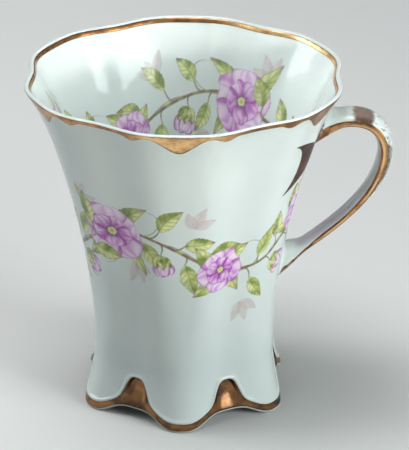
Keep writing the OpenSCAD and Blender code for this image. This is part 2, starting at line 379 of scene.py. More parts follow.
rim_gold = gilding("rim_gold", bright=(0.56, 0.28, 0.105, 1), brown=(0.30, 0.135, 0.055, 1),
                   worn=0.35, margin=0.6, painted_highlight=(1, 0.63, 0.29, 1))
# The foot's gold has darker tones than the rim's: painted shade and dark reflections in the niches and along the toes.
shaded_foot_gold = gilding("shaded_foot_gold", bright=(0.31, 0.155, 0.07, 1), brown=(0.12, 0.064, 0.04, 1), worn=0.2, margin=0.8)
# The handle's gold has a paler tone for a painted highlight along the middle of its lines.
handle_gold = gilding("handle_gold", bright=(0.66, 0.33, 0.12, 1), brown=(0.27, 0.115, 0.05, 1),
                      worn=0.5, margin=0.9, highlight_core=(1, 0.66, 0.36, 1))
crescent_gold = gilding("crescent_gold", bright=(0.10, 0.040, 0.024, 1), brown=(0.045, 0.021, 0.014, 1),
                        worn=0.3, margin=0.5, shine=0.1)
print("Gold:", len(rim_gold.node_tree.nodes), "nodes on the rim,", len(shaded_foot_gold.node_tree.nodes), "on the foot")

# %% [markdown]
# ## The wall
# The wall of the real cup came from a mould with six soft lobes. A lathe shape pushed about by a modifier
# would come near it. One radius by angle and height is exact: a mean radius that flares late, plus a wave
# with six lobes. The same formulas and sizes made the solids, so the skin here lies on them. A valley
# lies at angle 0, under the handle.

# %% Wall formulas
lobes = 6
pitch = 2 * np.pi / lobes
rim_r, waist_r, waist_z = 40.7, 23.9, 22.0
flare_power, lip_turn, lip_zone = 1.64, 1.7, 16.0
rim_wall, low_wall, floor_top, bowl_r = 1.1, 2.6, 13.5, 7.0
rim_swell, wall_swell, lobe_flatness = 0.95, 0.6, 0.4
foot_swell, toe_roundness, swell_fade = 1.0, 0.4, 48.0
toe_turn, toe_zone = 2.9, 14.0
arch_h, toe_flat, arch_fade, arch_share = 2.8, math.radians(3.75), 16.0, 0.9
edge_w, edge_round, hollow_h, hollow_r, lip_round = 2.8, 0.7, 9.5, 14.0, 0.45
wall_top = cup_h - lip_round


def up_wall(z):
    """Share of the way from the waist up to the rim."""
    return clip((z - waist_z) / (cup_h - waist_z))


def mean_r(z):
    """Mean radius: the waist, a power of the height for the flare, and a square of it for the turned lip."""
    flare = (rim_r - lip_turn - waist_r) * up_wall(z) ** flare_power
    return waist_r + flare + lip_turn * clip((z - cup_h + lip_zone) / lip_zone) ** 2


def wave(a, second):
    """A wave with its peak in each valley. The share of the second wave flattens the lobes."""
    return np.cos(lobes * a) + second * np.cos(2 * lobes * a)


def wall_wave(z):
    """Height of the lobes' wave, which grows from the waist to the rim."""
    return mix(wall_swell, rim_swell, up_wall(z))


def smooth_r(a, z):
    """Outer radius without the niches: mean radius, turned-out toes and lobes."""
    toes = toe_turn * clip(1 - z / toe_zone) ** 1.6
    foot = foot_swell * clip(1 - z / swell_fade) ** 2
    return mean_r(z) + toes - wall_wave(z) * wave(a, lobe_flatness) - foot * wave(a, -toe_roundness)


def inner_r(a, z):
    """Inner radius: the mean radius less a thickness that falls towards the rim, with the same lobes."""
    thickness = mix(low_wall, rim_wall, clip((z - floor_top) / (cup_h - floor_top)))
    return mean_r(z) - thickness - wall_wave(z) * wave(a, lobe_flatness)


def edge_z(a):
    """Height of the standing edge: 0 under a toe, and a power of a sine between two toes."""
    flat = (1 - math.cos(lobes * toe_flat)) / 2
    t = clip(((1 + np.cos(lobes * a)) / 2 - flat) / (arch_share - flat))
    return arch_h * np.sin(np.pi / 2 * t) ** 1.5


def raised(a, z):
    """Height of a row: its own, plus the standing edge's, which fades out above the foot."""
    return z + edge_z(a) * (1 - ramp(0, arch_fade, z))


def spot(a, r, z):
    """The point at this angle, radius and height."""
    a, r, z = np.broadcast_arrays(a, r, z)
    return np.stack([r * np.cos(a), r * np.sin(a), z], -1)


print("Rim", round(float(smooth_r(pitch / 2, cup_h)), 2), "mm from the axis at a lobe")

# %% [markdown]
# ## The foot
# Between two toes is a niche: a hollow with a round crown whose sides flare out into the band along
# the toes. A soft ridge stands along the upper edge of all the gold, and catches the light. Booleans could
# cut the niches, but they would leave ragged faces where the ridge begins. So both come from one curve,
# the height of the gold's upper edge by angle, and from the distance to that curve.

# %% Niches and ridge
gold_start, toe_band = 0.6, 1.8
gold_half, gold_crown = 3.6, 10.8
niche_depth, niche_slope, toe_recess, niche_lip = 1.5, 1.1, 0.1, 6.0
ridge_h, ridge_w, ridge_off = 0.3, 0.42, 0.4


def valley_arc(a):
    """Arc in mm from the nearest valley, at the waist."""
    return (a - pitch * np.round(a / pitch)) * waist_r


def niche_bell(a):
    """1 in the middle of a niche and 0 on a toe: one over one plus two powers of the arc."""
    u = np.abs(valley_arc(a)) / gold_half
    return 1 / (1 + u**3.7 + 0.6 * u**9)


def foot_gold_top(a):
    """Row at which the foot's gold ends: low on a toe, high in a niche."""
    low = gold_start + toe_band
    return low + (gold_crown - low) * niche_bell(a)


def past_gold(a, z):
    """Distance in mm from the gold's upper edge: the height past it, over the length of its slope."""
    step = 1e-3
    slope = (foot_gold_top(a + step) - foot_gold_top(a - step)) / (2 * step * waist_r)
    return (z - foot_gold_top(a)) / np.sqrt(1 + slope**2)


def outer_r(a, z):
    """Outer radius of a row: the smooth wall at its raised height, the niche pressed in, the ridge added."""
    past = past_gold(a, z)
    depth = mix(toe_recess, niche_depth, niche_bell(a) ** 1.2 * ramp(-0.3 * niche_lip, niche_lip, z))
    relief = ridge_h * bump((past - ridge_off) / ridge_w) - depth * ramp(0.15, -niche_slope, past)
    return smooth_r(a, raised(a, z)) + relief


def outer(a, z, lift=0.0):
    """A point on the outer wall, with the rows near the table raised over the arches."""
    return spot(a, outer_r(a, z) + lift, raised(a, z))


def inner(a, z, lift=0.0):
    """A point on the inner wall, lifted towards the axis."""
    return spot(a, inner_r(a, z) - lift, z)


print("A niche is", niche_depth, "mm deep and", gold_crown, "mm high")

# %% [markdown]
# ## The body
# The body is one closed skin. An outer wall with a Solidify modifier would have one thickness, and the
# real wall thins towards the lip, so both sides are worked out. The rings start under the floor, go down
# the hollow of the foot, round the standing edge, up the outer wall, over the lip and down inside to the
# floor. The columns stand closer together round each niche, and the rows closer together low on the wall.

# %% Body
fine_half, fine_top = math.radians(12), 15
niche_columns, lobe_columns = 40, 24
sector = np.concatenate([
    np.linspace(-fine_half, fine_half, niche_columns, endpoint=False),
    np.linspace(fine_half, pitch - fine_half, lobe_columns, endpoint=False),
])
columns = (sector[None, :] + pitch * np.arange(lobes)[:, None]).ravel()


def body_rings():
    """Rings of the whole skin, part by part along its profile, and how bare of glaze each ring is."""
    a = columns[None, :]
    foot_z = edge_z(a)
    foot_r = outer_r(a, 0.0)
    q = np.linspace(0, np.pi / 2, 12)[:, None]
    hollow = spot(a, mix(hollow_r, foot_r - edge_w, np.sin(q)), mix(foot_z, hollow_h, np.cos(q)))
    flat = spot(a, foot_r - np.linspace(edge_w - 0.4, edge_round, 4)[:, None], foot_z)
    q = np.linspace(0.25, 1, 4)[:, None] * np.pi / 2
    heel_r = mix(foot_r - edge_round, outer_r(a, edge_round), np.sin(q))
    heel = spot(a, heel_r, mix(raised(a, edge_round), foot_z, np.cos(q)))
    low = np.linspace(edge_round, fine_top, 58)[1:, None]
    high = np.linspace(fine_top, wall_top, 64)[1:, None]
    wall = outer(a, np.concatenate([low, high]))
    q = np.linspace(0, np.pi, 11)[1:-1, None]
    lip_r = mix(outer_r(a, wall_top), inner_r(a, wall_top), (1 - np.cos(q)) / 2)
    lip = spot(a, lip_r, wall_top + lip_round * np.sin(q))
    inside = inner(a, np.linspace(wall_top, floor_top + bowl_r, 44)[:, None])
    q = np.linspace(0, np.pi / 2, 12)[1:, None]
    bowl = spot(a, inner_r(a, floor_top + bowl_r) - bowl_r * (1 - np.cos(q)),
                floor_top + bowl_r * (1 - np.sin(q)))
    parts = [hollow, flat, heel, wall, lip, inside, bowl]
    bareness = [0.0, 1.0, 0.35, 0.0, 0.0, 0.0, 0.0]
    bare = np.concatenate([np.full(p.shape[:2], b) for p, b in zip(parts, bareness)])
    return np.concatenate(parts), bare


rings, bare = body_rings()
make_vessel("cup_porcelain", rings, [0, 0, hollow_h], [0, 0, floor_top], glaze, "porcelain",
            ["cup_body"], numbers={"bare": np.append(bare, [0, 0])})

# %% [markdown]
# ## Gold films
# Each gilded line is a thin film that follows the surface below it. A mask in the glaze could show it, but
# a film has an edge that catches the light, and it stands for a solid of its own. A film is a closed
# sheet: its upper face swells a little between its edges, and its lower face lies just inside the
# porcelain. It is made from any surface that can be asked for a point at a given lift.

# %% Film builder
film_h, film_sink = 0.12, 0.06


def film_rings(surface, shares):
    """Rings of a closed film: up over its face by share of its width, and back under it."""
    swell = film_h * (1 - (2 * shares - 1) ** 6)
    over = np.stack([surface(t, h) for t, h in zip(shares, swell)])
    under = np.stack([surface(t, -film_sink) for t in shares[::-1]])
    edge = np.abs(2 * np.concatenate([shares, shares[::-1]]) - 1) ** 3
    return np.concatenate([over, under]), np.broadcast_to(edge[:, None], (2 * len(shares), over.shape[1]))


def gild_round(name, surface, rows, material, stands_for, painted_highlight=0.0):
    """A film that runs right round the cup, with the share of painted highlight at each angle."""
    shape, edge = film_rings(surface, np.linspace(0, 1, rows))
    make_hoop(name, shape, material, "gilding", [stands_for],
              numbers={"edge": edge, "painted_highlight": np.broadcast_to(painted_highlight, edge.shape)})


print("A gold film is", film_h, "mm thick at most")

# %% Rim gold
line_d, long_drip, short_drip = 1.1, 5.5, 2.2
long_half, short_half, short_at = np.radians([11, 5, 17])


def gold_depth(a):
    """Depth of the rim's gold: a line, a long drip on each lobe, and a short one at either side."""
    d = np.abs((a - pitch / 2) - pitch * np.round((a - pitch / 2) / pitch))
    long = (long_drip - line_d) * (1 - ramp(0, long_half, d))
    short = (short_drip - line_d) * (1 - ramp(0, short_half, np.abs(d - short_at)))
    return line_d + long + short


def highlight_near(a, at, full, none):
    """Share of a painted highlight: 1 within full degrees of a place on the rim, falling to 0 at none degrees from it.
    """
    away = np.abs((np.degrees(a) - at + 180) % 360 - 180)
    return 1 - ramp(full, none, away)


rim_columns = 720
rim_a = np.linspace(0, 2 * np.pi, rim_columns, endpoint=False)
# Painted highlights on the rim's gold: at the front of the band, and at the right back of the inner line.
gild_round("rim_gold_band", lambda t, h: outer(rim_a, wall_top - t * gold_depth(rim_a), h), rows=12,
           material=rim_gold, stands_for="rim_gilding", painted_highlight=highlight_near(rim_a, at=-88, full=8, none=26))
gild_round("inner_gold_line", lambda t, h: inner(rim_a, wall_top - t * line_d, h), rows=7,
           material=rim_gold, stands_for="inner_rim_line", painted_highlight=highlight_near(rim_a, at=45, full=15, none=50))

# %% Foot gold
# Its darker tones are painted shade.
gild_round("foot_gold_band", lambda t, h: outer(columns, mix(gold_start, foot_gold_top(columns), t), h), rows=26,
           material=shaded_foot_gold, stands_for="foot_gilding")

# %% [markdown]
# ## The handle
# The strap follows one curve out from the wall to its furthest point and another back to the wall. Its
# section is a rounded oblong that slims towards the lower root. A curve object with a bevel could make
# such a strap, but its ends would be cut square. Here the section at each end turns into an oblong patch
# of the wall, so that the strap grows out of it.

# %% Handle curve
upper_z, lower_z = 73.5, 36.5
reach_at = np.array([51.0, 68.0])
strap_w, strap_t, tail_w, tail_t = 9.2, 4.0, 6.8, 2.9
upper_root, lower_root = (5.2, 4.6), (4.4, 4.4)
root_gap = 0.58
upper_part, root_part, section_power = 0.38, 0.11, 0.92
upper_at = np.array([float(smooth_r(0, upper_z)) + root_gap, upper_z])
lower_at = np.array([float(smooth_r(0, lower_z)) + root_gap, lower_z])
upper_curve = [upper_at, upper_at + [8, 5.5], reach_at + [0, 9.4], reach_at]
lower_curve = [reach_at, reach_at + [-0.5, -12], lower_at + [12.5, 9], lower_at]


def centre(s):
    """A point of the strap's middle line, at a share s of its way: one cubic curve out and another back."""
    s = np.asarray(s, float)
    first = bezier(upper_curve, clip(s / upper_part))
    second = bezier(lower_curve, clip((s - upper_part) / (1 - upper_part)))
    p = np.where((s < upper_part)[..., None], first, second)
    return np.stack([p[..., 0], np.zeros_like(s), p[..., 1]], -1)


def outward(s):
    """Direction away from the finger gap: that of the strap between two near points, turned square."""
    step = 0.004
    t = centre(np.minimum(1, s + step)) - centre(np.maximum(0, s - step))
    t = t / np.linalg.norm(t, axis=-1, keepdims=True)
    return np.stack([-t[..., 2], t[..., 1], t[..., 0]], -1)


print("The strap's middle line reaches", reach_at[0], "mm from the axis")


# %% Handle skin
def squared(x):
    """x with its size raised to a power, which makes a round section a little square."""
    return np.sign(x) * np.abs(x) ** section_power


def section(s, q, grow):
    """A point of the section at the angle q: half a width across and half a thickness out, both slimming with s."""
    half_w = mix(strap_w, tail_w, ramp(0.3, 0.8, s)) / 2
    half_t = mix(strap_t, tail_t, ramp(0.35, 0.75, s)) / 2
    across = np.array([0, 1, 0]) * ((half_w + grow) * squared(np.cos(q)))[..., None]
    return centre(s) + across + outward(s) * ((half_t + grow) * squared(np.sin(q)))[..., None]


def wall_spot(y, z, lift):
    """A point over the wall, from its step to the side and its height."""
    a = np.arcsin(y / smooth_r(0, z))
    return spot(a, smooth_r(a, z) + lift, z)


def root_spot(z, root, share, q, lift):
    """A point of an oval on the wall round a root, a share of the root's own size."""
    return wall_spot(share * root[0] * np.cos(q), z + share * root[1] * np.sin(q), lift)


def strap(s, q, grow=0.0):
    """A point of the handle's skin: an oval of the wall at a root, which turns into the section away from it."""
    s, q, grow = (np.asarray(x, float) for x in np.broadcast_arrays(s, q, grow))
    upper = root_spot(upper_z, upper_root, 1, q, root_gap + grow) + centre(s) - centre(np.zeros_like(s))
    lower = root_spot(lower_z, lower_root, 1, -q, root_gap + grow) + centre(s) - centre(np.ones_like(s))
    root = np.where((s < 0.5)[..., None], upper, lower)
    return mix(root, section(s, q, grow), ramp(0, root_part, np.minimum(s, 1 - s))[..., None])


# %% [markdown]
# ## Wear on the handle
# Fingers have rubbed the top of the strap, where a wash of gold has worn to a brown smear with dark
# specks beside it. Noise alone would put such wear all over, and a hand-painted mask would be smooth. So
# a smooth mask in the mesh says where, and noise in the finish breaks its edges.

# %% Wear masks
strap_s = np.linspace(0, 1, 150)[:, None]
strap_q = np.linspace(0, 2 * np.pi, 48, endpoint=False)[None, :]
smear_at, smear_half, speck_from, speck_to = 0.187, 0.042, 0.25, 0.38
smear_pale, smear_dark = (0.33, 0.225, 0.17, 1), (0.11, 0.045, 0.02, 1)
# The grey below is painted shade on the strap's back.
speck_black, back_shade = (0.02, 0.016, 0.014, 1), (0.42, 0.42, 0.39, 1)
tail_q = math.radians(156)


def on_back(q):
    """1 on the strap's back and sides, and 0 on the face towards the finger gap."""
    return ramp(-0.5, 0.05, np.sin(q))


def smear_mask(s, q):
    """A band across the strap's back, and a weaker trail along its bend."""
    trail = 0.7 * ramp(0.3, 0.36, s) * (1 - ramp(0.45, 0.62, s)) * (1 - ramp(0.5, 1.1, np.sin(q)))
    return on_back(q) * np.maximum(1 - ramp(0.6, 1.3, np.abs(s - smear_at) / smear_half), trail)


def speck_mask(s, q):
    """The back of the strap between two places along it, with soft ends."""
    return on_back(q) * ramp(speck_from - 0.03, speck_from, s) * (1 - ramp(speck_to, speck_to + 0.05, s))


def gilt_mask(s, q):
    """The underside of the upper root, where the gold was brushed over the joint, and the tails of the two lines."""
    upper = (1 - ramp(0.045, 0.075, s)) * ramp(-0.4, -0.05, -np.sin(q))
    tails = ramp(0.925, 0.945, s) * bump((np.abs(np.cos(q)) + np.cos(tail_q)) / 0.07) * (np.sin(q) > 0)
    return np.maximum(upper, tails)


def seam_mask(s, strength):
    """The joint of the upper root: 1 at the wall and 0 a little way along the strap."""
    return strength * (1 - ramp(0, 0.007, s)) + 0 * strap_q


# %% Worn finish
def seam_dots(f, colour):
    """Dark dots along a seam that the mesh keeps as a mask."""
    dots = (f.noise(1.2, 2, 0.6) + f.value("seam") - 0.5).between(0.5, 0.66)
    return f.blend(dots * 0.9, colour, speck_black)


def worn_porcelain(name, bright, brown):
    """Glaze with painted shade on the strap's back, a brown smear, dark specks, brushed gold in two tones and a dotted
    seam, each by its mask.
    """
    f, colour, roughness = glazed(name)
    back = f.value("back")
    # Painted shade: the strap's back is greyed a little.
    colour = f.blend(back.between(-0.2, 0.6) * 0.25, colour, back_shade)
    worn = (f.value("worn") + f.noise(0.6, 4, 0.7) * 1.6 - 0.8).between(0.1, 0.95)
    tone = (f.noise(0.5, 4, 0.65) * 0.8 - back * 2 + 1.6).between(0.2, 0.9)
    colour = f.blend(worn * 0.95, colour, f.blend(tone, smear_pale, smear_dark))
    dots = (1 - f.cells(1.1).between(0.22, 0.34)) * f.noise(0.4, 2).between(0.42, 0.5) * f.value("specked")
    colour = f.blend(dots, colour, speck_black)
    gilt = (f.noise(0.7, 3, 0.6) + f.value("gilt") - 0.5).between(0.4, 0.6)
    colour = f.blend(gilt, colour, f.blend(f.noise(0.3, 3).between(0.38, 0.62), bright, brown))
    colour = seam_dots(f, colour)
    metal = gilt.math("MAXIMUM", gilt, worn * 0.7)
    f.set(Base_Color=colour, Metallic=metal, Roughness=roughness + worn * 0.3 + gilt * 0.2)
    return f.material


# %% Handle
sunk, sunk_share, clearance = -0.4, 0.97, -0.01
rings = np.concatenate([
    root_spot(upper_z, upper_root, sunk_share, strap_q, sunk),
    strap(strap_s, strap_q, clearance),
    root_spot(lower_z, lower_root, sunk_share, -strap_q, sunk),
])
ring_s = np.concatenate([[[0.0]], strap_s, [[1.0]]])
handle_masks = {"worn": smear_mask(ring_s, strap_q), "specked": speck_mask(ring_s, strap_q),
                "gilt": gilt_mask(ring_s, strap_q), "seam": seam_mask(ring_s, 0.75),
                "back": np.sin(strap_q) + 0 * ring_s}
handle_glaze = worn_porcelain("handle_glaze", bright=(0.52, 0.23, 0.09, 1), brown=(0.25, 0.105, 0.05, 1))
make_vessel("strap_handle", rings, wall_spot(0, upper_z, sunk), wall_spot(0, lower_z, sunk),
            handle_glaze, "porcelain", ["handle"],
            numbers={key: np.append(mask, [0, 0]) for key, mask in handle_masks.items()})

# %% [markdown]
# ## The joints of slip
# The handle was stuck on with liquid clay, which fills the corner round each root. A Bevel modifier on the
# joined pieces would follow their uneven faces. A hollow curve from the wall to the strap, carried round
# the root, gives that fillet with even ones.

# %% Fillets
fillet_spread, fillet_s = 1.22, 0.045
fillet_rows, fillet_columns = 12, 64
foot_sunk, corner_lift, top_sunk = -0.03, 0.1, -0.04
clay_share, clay_sunk = 0.8, -0.6


def fillet_rings(z, root, upper):
    """Rings round a root: along the hollow curve from wall to strap, and back inside the clay."""
    q = np.linspace(0, 2 * np.pi, fillet_columns, endpoint=False)
    side = q if upper else -q
    s = fillet_s if upper else 1 - fillet_s
    foot = root_spot(z, root, fillet_spread, side, foot_sunk)
    corner = root_spot(z, root, 1.0, side, corner_lift)
    top = strap(s, q, top_sunk)
    t = np.linspace(0, 1, fillet_rows)[:, None, None]
    curve = (1 - t) ** 2 * foot + 2 * t * (1 - t) * corner + t * t * top
    inside = [strap(s, q, clay_sunk)[None], root_spot(z, root, clay_share, side, clay_sunk)[None]]
    return np.concatenate([curve, *inside])


def seamed_porcelain(name):
    """Plain glaze with dark dots along a seam."""
    f, colour, roughness = glazed(name)
    f.set(Base_Color=seam_dots(f, colour), Roughness=roughness)
    return f.material


luting_glaze = seamed_porcelain("luting_glaze")
fillet_t = np.append(np.linspace(0, 1, fillet_rows), [1, 0])[:, None] + np.zeros(fillet_columns)
make_hoop("upper_fillet", fillet_rings(upper_z, upper_root, True), luting_glaze, "luting", ["upper_luting"],
          numbers={"seam": 0.7 * (1 - ramp(0.6, 0.95, fillet_t))})
make_hoop("lower_fillet", fillet_rings(lower_z, lower_root, False), luting_glaze, "luting", ["lower_luting"],
          numbers={"seam": 0 * fillet_t})

# %% [markdown]
# ## Gold on the handle
# A gold line runs along each edge of the strap, towards the finger gap. It widens at the upper root.
# On the wall at each side of that root lies a dark gold crescent, with a short horn above and a long
# brushed tail below. Faces cut out of the strap and the wall would have stepped edges, so each is a film
# between two curves.

# %% Handle gold
strap_steps = 42
line_s = np.linspace(2 / strap_steps, 40 / strap_steps, 150)
line_start, line_bend, line_low, root_turn = 197, 187, 172, 14
wide_half, slim_half, root_half, tail_half = 31, 26, 12, 10


def line_film(side):
    """Closed film along one edge of the strap, between two angles round its section: a middle, less and plus
    a half, in degrees. side is -1 for the near edge and 1 for the far one."""
    at_root, at_tail = 1 - ramp(0.03, 0.13, line_s), ramp(0.8, 0.95, line_s)
    upper = mix(line_start, line_bend, ramp(0.12, 0.36, line_s))
    middle = mix(upper, line_low, ramp(0.4, 0.75, line_s)) + root_turn * at_root
    half = mix(wide_half, slim_half, ramp(0.15, 0.4, line_s)) + root_half * at_root
    middle, half = mix(middle, math.degrees(tail_q), at_tail), mix(half, tail_half, at_tail)

    def surface(t, h):
        """Points along the line at a share t of its width, lifted by h."""
        q = np.radians(middle + half * (2 * t - 1))
        return strap(line_s, q if side < 0 else np.pi - q, h)

    return film_rings(surface, np.linspace(0, 1, 13))


def gild_strokes(name, films, material, stands_for):
    """Several films with two ends each, joined into one piece."""
    points, quads, caps, edges, start = [], [], [], [], 0
    for shape, edge in films:
        rows, steps = shape.shape[:2]
        tube = np.swapaxes(shape, 0, 1)
        ends = [tube[0].mean(0), tube[-1].mean(0)]
        count = rows * steps
        fans = [cap_faces(0, rows, count), cap_faces(count - rows, rows, count + 1)[:, ::-1]]
        faces = grid_faces(steps, rows, False, True)
        local = np.concatenate([tube.reshape(-1, 3), ends])
        if enclosed(local, faces) < 0:
            faces, fans = faces[:, ::-1], [f[:, ::-1] for f in fans]
        points.append(local)
        quads.append(faces + start)
        caps.append(np.concatenate(fans) + start)
        edges.append(np.append(edge.T, [1, 1]))
        start += len(local)
    make_piece(name, np.concatenate(points), [np.concatenate(quads), np.concatenate(caps)], material,
               "gilding", [stands_for], numbers={"edge": np.concatenate(edges)})


gild_strokes("handle_gold_lines", [line_film(-1), line_film(1)], handle_gold, "handle_gilding")

# %% Root crescents
front_curve = [[22, 77.2], [15, 75], [15.5, 66], [21.6, 62.5]]
root_curve = [[22, 77.4], [12, 76.2], [-4, 70], [21.6, 62.5]]


def crescent_film(side):
    """Closed film between two curves of arc and height that meet in a horn above and a tail below."""
    t = np.linspace(0.02, 0.98, 70)
    front, root = bezier(front_curve, t), bezier(root_curve, t)

    def surface(u, h):
        """Points along the crescent at a share u of the way between its curves, lifted by h."""
        p = mix(root, front, u)
        a = side * p[:, 0] / float(smooth_r(0, upper_z))
        return spot(a, smooth_r(a, p[:, 1]) + h, p[:, 1])

    return film_rings(surface, np.linspace(0, 1, 21))


gild_strokes("root_gold_crescents", [crescent_film(-1), crescent_film(1)], crescent_gold, "root_flourish")

# %% [markdown]
# ## The print
# Printed flowers go round the cup outside and inside, under the glaze. A picture texture is the usual way
# to show a print, but a mesh with a colour at each point carries it without any picture. The garland is
# painted by formula on a canvas, a grid of arc and height in millimetres, and the grid is then bent round
# the wall. Each stroke is a mask with a soft edge and a colour, laid over what is there. The garland is a
# design made for this part: lilac blossoms on a waving vine, with buds, toothed leaves, tendrils and faint
# shadow leaves.


# %% Canvas
def tint(red, green, blue):
    """A screen colour of 0 to 255 as linear light."""
    c = np.array([red, green, blue]) / 255
    return np.where(c <= 0.04045, c / 12.92, ((c + 0.055) / 1.055) ** 2.4)


class Canvas:
    """A band of the wall as a grid of arc and height in mm, with a colour and a cover at each point."""

    def __init__(self, radius, low, high, step):
        self.radius = radius
        self.columns = round(2 * np.pi * radius / step)
        self.angles = np.arange(self.columns) * 2 * np.pi / self.columns
        self.heights = np.linspace(low, high, round((high - low) / step) + 1)
        self.colour = np.ones((len(self.heights), self.columns, 3))
        self.cover = np.zeros((len(self.heights), self.columns))

    def window(self, arc, height, reach):
        """The rows and columns within reach of a place, and the arc and height of each point from it."""
        full = 2 * np.pi * self.radius
        x = (self.angles * self.radius - arc + full / 2) % full - full / 2
        y = self.heights - height
        rows, columns = np.flatnonzero(np.abs(y) < reach), np.flatnonzero(np.abs(x) < reach)
        x, y = np.broadcast_arrays(x[columns][None, :], y[rows][:, None])
        return np.ix_(rows, columns), x, y

    def lay(self, area, mask, colour):
        """Paints colour over a window, as far as mask covers it."""
        mask = clip(mask)
        total = mask + self.cover[area] * (1 - mask)
        share = (mask / np.maximum(total, 1e-6))[..., None]
        self.colour[area] = mix(self.colour[area], colour, share)
        self.cover[area] = total


def along_across(x, y, angle):
    """The same points measured along a direction and across it, by the cosine and sine of its angle."""
    c, s = np.cos(angle), np.sin(angle)
    return x * c + y * s, y * c - x * s


def within(distance, soft=0.16):
    """Cover from the distance in mm inside an outline, with a soft edge."""
    return ramp(-soft, soft, distance)


def ripple(x, y, size, seed):
    """Uneven waves of about this size in mm, from -1 to 1: sines in scattered directions."""
    draw = np.random.default_rng(seed)
    ways, paces, starts = draw.uniform(0, 2 * np.pi, 6), draw.uniform(3, 9, 6) / size, draw.uniform(0, 6, 6)
    return sum(np.sin((x * np.cos(w) + y * np.sin(w)) * p + s) for w, p, s in zip(ways, paces, starts)) / 3


# %% Print colours
lilac_pale, lilac = tint(248, 230, 248), tint(200, 98, 206)
lilac_deep, lilac_line = tint(154, 46, 160), tint(112, 28, 118)
leaf_light, leaf_green = tint(230, 236, 168), tint(174, 188, 92)
leaf_dark, leaf_line = tint(102, 124, 52), tint(78, 92, 42)
plum, twig, pollen = tint(150, 78, 128), tint(112, 84, 78), tint(196, 184, 84)
ghost_pale, ghost_line = tint(214, 196, 192), tint(178, 150, 150)


# %% Blossoms
def petal(canvas, arc, height, angle, length, width, seed, squash=1.0, lean=0.0, depth=0.0):
    """A petal whose half width is a power of a sine along it, notched at its tip, with streaks and a dark edge."""
    area, x, y = canvas.window(arc, height, length * 1.15)
    x, y = along_across(x, y, lean)
    along, across = along_across(x, y / squash, angle - lean)
    uneven = ripple(along, across, length * 0.8, seed)
    s = along / (length * (1 + 0.06 * uneven - 0.09 * bump(across / (0.16 * width))))
    half = width / 2 * np.sin(np.pi * clip(s) ** 1.5) ** 0.75 + 1e-6
    v = across / half
    streaks = np.sin(v * 9 + uneven * 2.5) * ramp(0.15, 0.5, s)
    shade = clip(0.36 + depth + 0.6 * v**2 + 0.26 * streaks + 0.28 * uneven - 0.3 * ramp(0.25, 0.75, s))
    heart = clip(bump(s / 0.45) * 0.85 + depth * 0.5 * (1 - ramp(0.3, 0.8, s)))
    edge = half - np.abs(across)
    rim = np.maximum(1 - ramp(0.1, 0.5, edge), ramp(0.93, 1.0, s) * 0.6) * (0.65 + 0.35 * uneven)
    colour = mix(lilac_pale, lilac, shade[..., None])
    colour = mix(colour, lilac_deep, heart[..., None])
    colour = mix(colour, lilac_line, (0.75 * clip(rim))[..., None])
    canvas.lay(area, within(edge) * (s > 0) * (s < 1), colour)


def disc(canvas, arc, height, radius, colour, cover):
    """A soft round dot: cover by how far a point lies inside the radius."""
    area, x, y = canvas.window(arc, height, radius * 2)
    canvas.lay(area, cover * within(radius - np.hypot(x, y), 0.2), colour)


def blossom(canvas, arc, height, size, turn, seed):
    """Two whorls of five petals seen a little from one side, round a pale eye with a ring of stamens."""
    draw = np.random.default_rng(seed)
    lean, squash = draw.uniform(0, np.pi), draw.uniform(0.8, 0.94)
    for share, first, depth in ((1.0, 0.0, 0.0), (0.62, np.pi / 5, 0.3)):
        for k in (0, 2, 4, 1, 3):
            angle = turn + first + k * 2 * np.pi / 5 + draw.uniform(-0.1, 0.1)
            petal(canvas, arc, height, angle, size * share * draw.uniform(0.92, 1.06),
                  size * share * draw.uniform(1.0, 1.15), seed + k, squash, lean, depth)
    disc(canvas, arc, height, size * 0.12, leaf_light, 0.9)
    for k in range(9):
        a, r = k * 2 * np.pi / 9 + turn, size * draw.uniform(0.13, 0.2)
        disc(canvas, arc + r * np.cos(a), height + r * np.sin(a) * squash, size * 0.032, leaf_line, 0.85)
    disc(canvas, arc, height, size * 0.06, pollen, 0.9)


# %% Leaves and stems
leaf_tones = (leaf_light, leaf_green, leaf_dark, leaf_line, plum)
ghost_tones = (ghost_pale, ghost_pale, ghost_line, ghost_line, ghost_line)


def leaf(canvas, arc, height, angle, length, width, bend, seed, tones=leaf_tones, cover=1.0):
    """A leaf on a bent midrib: its half width is a power of a sine with teeth, with veins, shade and a dark tip."""
    light, green, dark, line, tip = tones
    area, x, y = canvas.window(arc, height, length * 1.2)
    along, across = along_across(x, y, angle)
    s = along / length
    across = across - bend * length * clip(s) * (1 - clip(s))
    teeth = 1 + 0.10 * ((s * 8) % 1)
    half = width / 2 * np.sin(np.pi * clip(s) ** 0.78) ** 0.95 * teeth + 1e-6
    v = across / half
    uneven = ripple(x, y, length * 0.45, seed)
    shade = clip(0.5 + 0.42 * np.tanh(3 * v) + 0.35 * uneven)
    veins = bump((((s * 6 - np.abs(v) * 1.1) % 1) - 0.5) / 0.13) * ramp(0.05, 0.25, np.abs(v))
    lines = (0.42 * veins + 0.55 * bump(across / 0.16)) * ramp(0.0, 0.1, s)
    edge = half - np.abs(across)
    colour = mix(light, green, shade[..., None])
    colour = mix(colour, dark, (clip(0.8 * shade - 0.35 + 0.35 * uneven) * 0.9)[..., None])
    colour = mix(colour, line, lines[..., None])
    colour = mix(colour, tip, (ramp(0.78, 1.0, s) * 0.5)[..., None])
    colour = mix(colour, line, (0.6 * (1 - ramp(0.05, 0.3, edge)))[..., None])
    canvas.lay(area, cover * within(edge, 0.14) * (s > 0) * (s < 1), colour)


